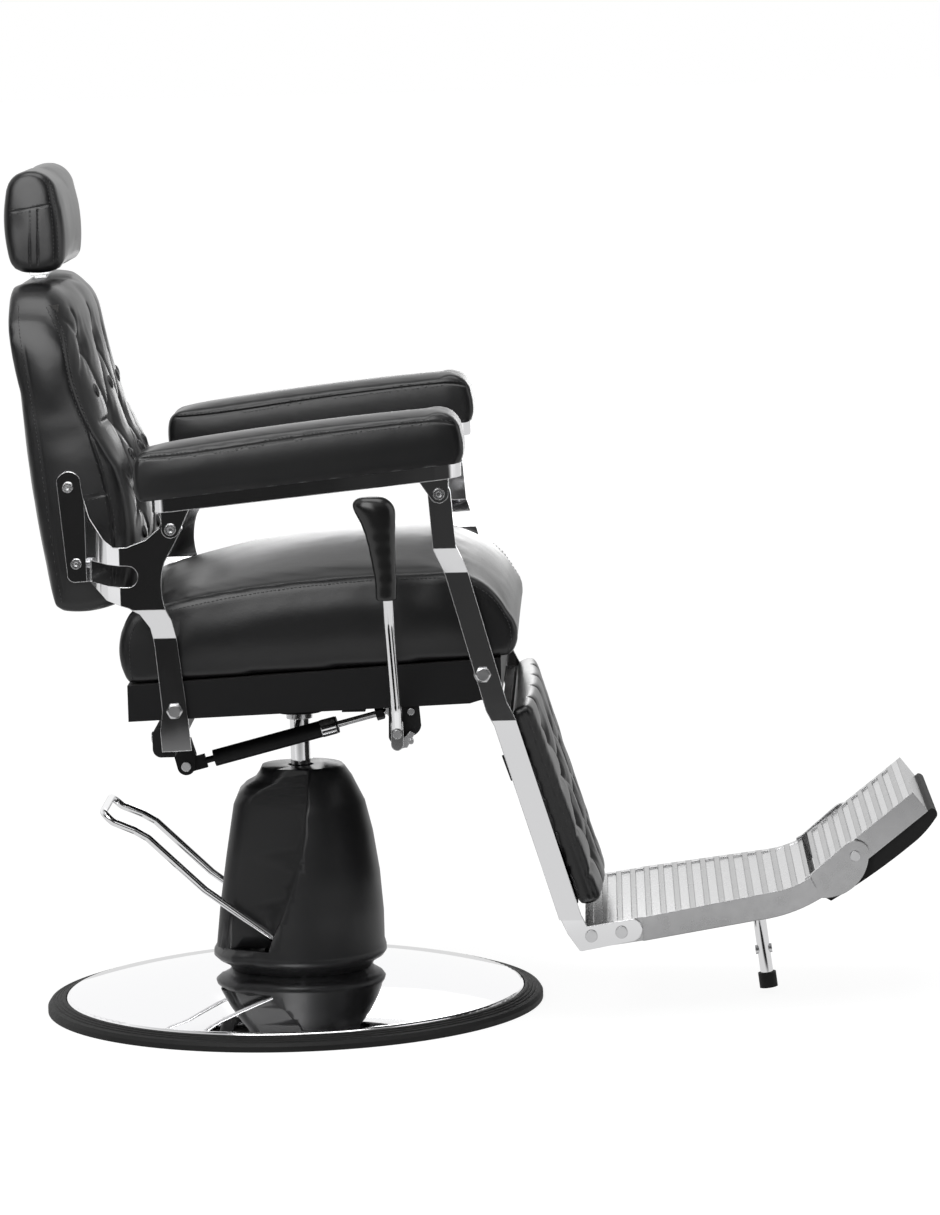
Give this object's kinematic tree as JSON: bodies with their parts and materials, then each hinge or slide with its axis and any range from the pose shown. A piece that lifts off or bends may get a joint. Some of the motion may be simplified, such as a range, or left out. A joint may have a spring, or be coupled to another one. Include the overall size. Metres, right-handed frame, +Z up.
{
  "type": "barber chair",
  "caption": "Hydraulic barber chair: round base, pump pedal, reclining back with linked armrests and legrest, sliding headrest and folding toe plate.",
  "frame": {"origin": "on the floor, at the centre of the round base", "axes": "+X the way the sitter faces, +Y to the sitter's left, +Z up"},
  "size_m": [1.1893, 0.7021, 1.1211],
  "materials": {
    "base_chrome": "polished",
    "bright_chrome": "polished",
    "black_rubber": "matt, finely grooved",
    "black_paint": "satin",
    "black_cover": "soft gloss",
    "black_leather": "fine grain, sewn",
    "cast_aluminium": "polished casting",
    "steel": "ground",
    "bronze": "turned",
    "plywood": "plain",
    "grip_plastic": "satin"
  },
  "bodies": {
    "base": {"base_plate": "base_chrome", "base_trim_ring": "black_rubber", "pump_cylinder": "black_paint", "pump_flange_bolts": "steel", "ram_gland": "bronze", "pump_cover": "black_cover", "pedal_pins": "steel"},
    "pedal": {"pump_pedal": "bright_chrome", "pedal_yoke": "steel"},
    "plunger": {"pump_plunger": "steel"},
    "ram": {"lift_ram": "bright_chrome", "ram_collar": "steel"},
    "seat": {"seat_frame": "black_paint", "seat_pan": "plywood", "seat_cushion": "black_leather", "swivel_mount": "black_paint", "mount_bolts": "steel", "frame_pivot_bolts": "steel", "spring_anchor": "steel", "lever_bracket": "black_paint", "bracket_screws": "steel", "lever_pin": "steel"},
    "back": {"rear_link_right": "bright_chrome", "rear_link_left": "bright_chrome", "back_screws": "steel", "rear_cross_bar": "black_paint", "cross_bar_bolts": "steel", "spring_lug": "black_paint", "spring_rear_pin": "steel", "back_board": "plywood", "back_cushion": "black_leather", "headrest_guide": "steel"},
    "headrest": {"headrest_bar": "bright_chrome", "headrest_cushion": "black_leather"},
    "armrests": {"armrest_pad_right": "black_leather", "armrest_pad_left": "black_leather", "armrest_rail_right": "bright_chrome", "armrest_rail_left": "bright_chrome", "arm_bolts": "steel"},
    "legrest": {"front_link_right": "bright_chrome", "front_link_left": "bright_chrome", "foot_screws": "steel", "legrest_pad": "black_leather", "legrest_board": "plywood", "legrest_tabs": "black_paint", "footrest": "cast_aluminium", "support_rod": "bright_chrome", "toe_screws": "steel"},
    "support_leg": {"support_leg_tube": "bright_chrome", "support_screws": "steel", "support_foot": "black_rubber"},
    "toe": {"toe_plate": "cast_aluminium", "toe_pad": "black_rubber"},
    "spring_tube": {"spring_cylinder": "black_paint", "spring_sleeve": "bright_chrome"},
    "spring_piston": {"spring_rod": "bright_chrome", "spring_nut": "black_paint"},
    "lever": {"recline_lever": "bright_chrome", "lever_grip": "grip_plastic", "release_link": "steel"}
  },
  "joints": [
    {"name": "pedal_stroke", "type": "hinge", "parent": "base", "child": "pedal", "pos_m": [0.01, 0, 0.073], "axis": [0, -1, 0], "range_deg": [0, 18], "stiffness_Nm_per_rad": 12, "springref_deg": -20.05},
    {"name": "plunger_stroke", "type": "slide", "parent": "base", "child": "plunger", "axis": [0, 0, -1], "range_m": [0, 0.0145]},
    {"name": "lift", "type": "slide", "parent": "base", "child": "ram", "axis": [0, 0, 1], "range_m": [0, 0.15]},
    {"name": "swivel", "type": "hinge", "parent": "ram", "child": "seat", "pos_m": [0.016, 0, 0.4], "axis": [0, 0, 1], "continuous": true},
    {"name": "recline", "type": "hinge", "parent": "seat", "child": "back", "pos_m": [-0.1281, 0, 0.432], "axis": [0, -1, 0], "range_deg": [0, 30]},
    {"name": "legrest_swing", "type": "hinge", "parent": "seat", "child": "legrest", "pos_m": [0.267, 0, 0.47], "axis": [0, -1, 0], "range_deg": [0, 31.5]},
    {"name": "armrest_tilt", "type": "hinge", "parent": "back", "child": "armrests", "pos_m": [-0.1233, 0, 0.6692], "axis": [0, -1, 0], "range_deg": [-35.5, 0]},
    {"name": "spring_pivot", "type": "hinge", "parent": "back", "child": "spring_tube", "pos_m": [-0.1286, -0.09, 0.3351], "axis": [0, -1, 0], "range_deg": [-30, 0]},
    {"name": "spring_stroke", "type": "slide", "parent": "spring_tube", "child": "spring_piston", "axis": [-0.9699, 0, -0.2436], "range_m": [0, 0.052]},
    {"name": "headrest_height", "type": "slide", "parent": "back", "child": "headrest", "axis": [-0.0785, 0, 0.9969], "range_m": [0, 0.09]},
    {"name": "toe_fold", "type": "hinge", "parent": "legrest", "child": "toe", "pos_m": [0.7413, 0, 0.2068], "axis": [0, -1, 0], "range_deg": [0, 140]},
    {"name": "support_height", "type": "slide", "parent": "legrest", "child": "support_leg", "axis": [-0.1167, 0, 0.9932], "range_m": [0, 0.03]},
    {"name": "lever_pull", "type": "hinge", "parent": "seat", "child": "lever", "pos_m": [0.1558, -0.261, 0.3964], "axis": [0, -1, 0], "range_deg": [0, 12], "stiffness_Nm_per_rad": 6, "springref_deg": -17.19}
  ],
  "couplings": [
    {"joint": "plunger_stroke", "follows": "pedal_stroke", "m_per_rad": 0.0437},
    {"joint": "legrest_swing", "follows": "recline", "ratio": 1.045},
    {"joint": "armrest_tilt", "follows": "recline", "ratio": -1.17},
    {"joint": "spring_pivot", "follows": "recline", "ratio": -0.99},
    {"joint": "spring_stroke", "follows": "recline", "m_per_rad": 0.0963}
  ]
}
